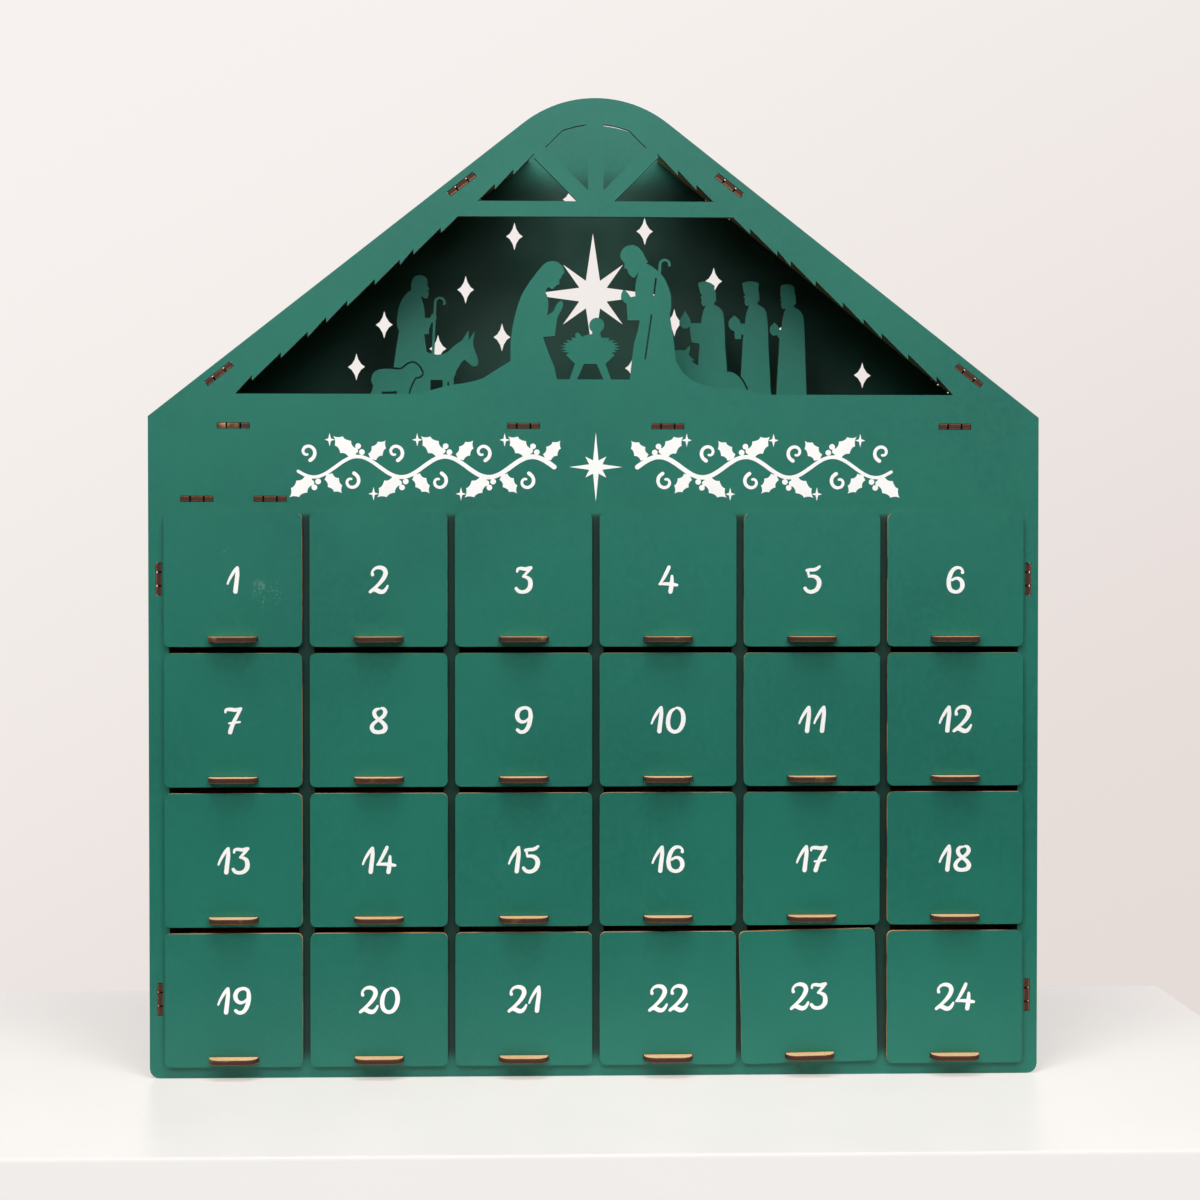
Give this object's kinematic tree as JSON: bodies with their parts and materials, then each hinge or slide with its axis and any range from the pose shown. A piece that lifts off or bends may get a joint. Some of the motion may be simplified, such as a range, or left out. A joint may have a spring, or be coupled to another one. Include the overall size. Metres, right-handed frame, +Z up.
{
  "type": "advent calendar",
  "caption": "House-shaped advent calendar of slotted boards: drawers that slide out below, a nativity scene with cut-out stars under the gable roof.",
  "frame": {"origin": "under the middle of the whole, on the surface it stands on; the depth counts the pulls of the drawers", "axes": "+Z up to the ridge, +X to the right of someone who faces the front, -Y out of the front, the way the drawers open"},
  "size_m": [0.45, 0.0748, 0.4942],
  "materials": {
    "green_board": "deep green satin paint on thin fibreboard, with scorched brown laser-cut edges",
    "bare_board": "bare pale fibreboard with darker laser-cut edges"
  },
  "bodies": {
    "cabinet": {"front_panel": "green_board", "back_panel": "green_board", "side_panel_left": "green_board", "side_panel_right": "green_board", "deck_panel": "green_board", "nativity_figure_panel": "green_board", "roof_panel_left": "green_board", "roof_panel_right": "green_board", "base_panel": "bare_board", "drawer_divider_grid": "bare_board", "light_shelf": "bare_board"},
    "drawer_01": {"drawer_front_01": "green_board", "drawer_box_01": "bare_board"},
    "drawer_02": {"drawer_front_02": "green_board", "drawer_box_02": "bare_board"},
    "drawer_03": {"drawer_front_03": "green_board", "drawer_box_03": "bare_board"},
    "drawer_04": {"drawer_front_04": "green_board", "drawer_box_04": "bare_board"},
    "drawer_05": {"drawer_front_05": "green_board", "drawer_box_05": "bare_board"},
    "drawer_06": {"drawer_front_06": "green_board", "drawer_box_06": "bare_board"},
    "drawer_07": {"drawer_front_07": "green_board", "drawer_box_07": "bare_board"},
    "drawer_08": {"drawer_front_08": "green_board", "drawer_box_08": "bare_board"},
    "drawer_09": {"drawer_front_09": "green_board", "drawer_box_09": "bare_board"},
    "drawer_10": {"drawer_front_10": "green_board", "drawer_box_10": "bare_board"},
    "drawer_11": {"drawer_front_11": "green_board", "drawer_box_11": "bare_board"},
    "drawer_12": {"drawer_front_12": "green_board", "drawer_box_12": "bare_board"},
    "drawer_13": {"drawer_front_13": "green_board", "drawer_box_13": "bare_board"},
    "drawer_14": {"drawer_front_14": "green_board", "drawer_box_14": "bare_board"},
    "drawer_15": {"drawer_front_15": "green_board", "drawer_box_15": "bare_board"},
    "drawer_16": {"drawer_front_16": "green_board", "drawer_box_16": "bare_board"},
    "drawer_17": {"drawer_front_17": "green_board", "drawer_box_17": "bare_board"},
    "drawer_18": {"drawer_front_18": "green_board", "drawer_box_18": "bare_board"},
    "drawer_19": {"drawer_front_19": "green_board", "drawer_box_19": "bare_board"},
    "drawer_20": {"drawer_front_20": "green_board", "drawer_box_20": "bare_board"},
    "drawer_21": {"drawer_front_21": "green_board", "drawer_box_21": "bare_board"},
    "drawer_22": {"drawer_front_22": "green_board", "drawer_box_22": "bare_board"},
    "drawer_23": {"drawer_front_23": "green_board", "drawer_box_23": "bare_board"},
    "drawer_24": {"drawer_front_24": "green_board", "drawer_box_24": "bare_board"}
  },
  "joints": [
    {"name": "drawer_01_slide", "type": "slide", "parent": "cabinet", "child": "drawer_01", "axis": [0, -1, 0], "range_m": [0, 0.044]},
    {"name": "drawer_02_slide", "type": "slide", "parent": "cabinet", "child": "drawer_02", "axis": [0, -1, 0], "range_m": [0, 0.044]},
    {"name": "drawer_03_slide", "type": "slide", "parent": "cabinet", "child": "drawer_03", "axis": [0, -1, 0], "range_m": [0, 0.044]},
    {"name": "drawer_04_slide", "type": "slide", "parent": "cabinet", "child": "drawer_04", "axis": [0, -1, 0], "range_m": [0, 0.044]},
    {"name": "drawer_05_slide", "type": "slide", "parent": "cabinet", "child": "drawer_05", "axis": [0, -1, 0], "range_m": [0, 0.044]},
    {"name": "drawer_06_slide", "type": "slide", "parent": "cabinet", "child": "drawer_06", "axis": [0, -1, 0], "range_m": [0, 0.044]},
    {"name": "drawer_07_slide", "type": "slide", "parent": "cabinet", "child": "drawer_07", "axis": [0, -1, 0], "range_m": [0, 0.044]},
    {"name": "drawer_08_slide", "type": "slide", "parent": "cabinet", "child": "drawer_08", "axis": [0, -1, 0], "range_m": [0, 0.044]},
    {"name": "drawer_09_slide", "type": "slide", "parent": "cabinet", "child": "drawer_09", "axis": [0, -1, 0], "range_m": [0, 0.044]},
    {"name": "drawer_10_slide", "type": "slide", "parent": "cabinet", "child": "drawer_10", "axis": [0, -1, 0], "range_m": [0, 0.044]},
    {"name": "drawer_11_slide", "type": "slide", "parent": "cabinet", "child": "drawer_11", "axis": [0, -1, 0], "range_m": [0, 0.044]},
    {"name": "drawer_12_slide", "type": "slide", "parent": "cabinet", "child": "drawer_12", "axis": [0, -1, 0], "range_m": [0, 0.044]},
    {"name": "drawer_13_slide", "type": "slide", "parent": "cabinet", "child": "drawer_13", "axis": [0, -1, 0], "range_m": [0, 0.044]},
    {"name": "drawer_14_slide", "type": "slide", "parent": "cabinet", "child": "drawer_14", "axis": [0, -1, 0], "range_m": [0, 0.044]},
    {"name": "drawer_15_slide", "type": "slide", "parent": "cabinet", "child": "drawer_15", "axis": [0, -1, 0], "range_m": [0, 0.044]},
    {"name": "drawer_16_slide", "type": "slide", "parent": "cabinet", "child": "drawer_16", "axis": [0, -1, 0], "range_m": [0, 0.044]},
    {"name": "drawer_17_slide", "type": "slide", "parent": "cabinet", "child": "drawer_17", "axis": [0, -1, 0], "range_m": [0, 0.044]},
    {"name": "drawer_18_slide", "type": "slide", "parent": "cabinet", "child": "drawer_18", "axis": [0, -1, 0], "range_m": [0, 0.044]},
    {"name": "drawer_19_slide", "type": "slide", "parent": "cabinet", "child": "drawer_19", "axis": [0, -1, 0], "range_m": [0, 0.044]},
    {"name": "drawer_20_slide", "type": "slide", "parent": "cabinet", "child": "drawer_20", "axis": [0, -1, 0], "range_m": [0, 0.044]},
    {"name": "drawer_21_slide", "type": "slide", "parent": "cabinet", "child": "drawer_21", "axis": [0, -1, 0], "range_m": [0, 0.044]},
    {"name": "drawer_22_slide", "type": "slide", "parent": "cabinet", "child": "drawer_22", "axis": [0, -1, 0], "range_m": [0, 0.044]},
    {"name": "drawer_23_slide", "type": "slide", "parent": "cabinet", "child": "drawer_23", "axis": [0, -1, 0], "range_m": [0, 0.044]},
    {"name": "drawer_24_slide", "type": "slide", "parent": "cabinet", "child": "drawer_24", "axis": [0, -1, 0], "range_m": [0, 0.044]}
  ]
}
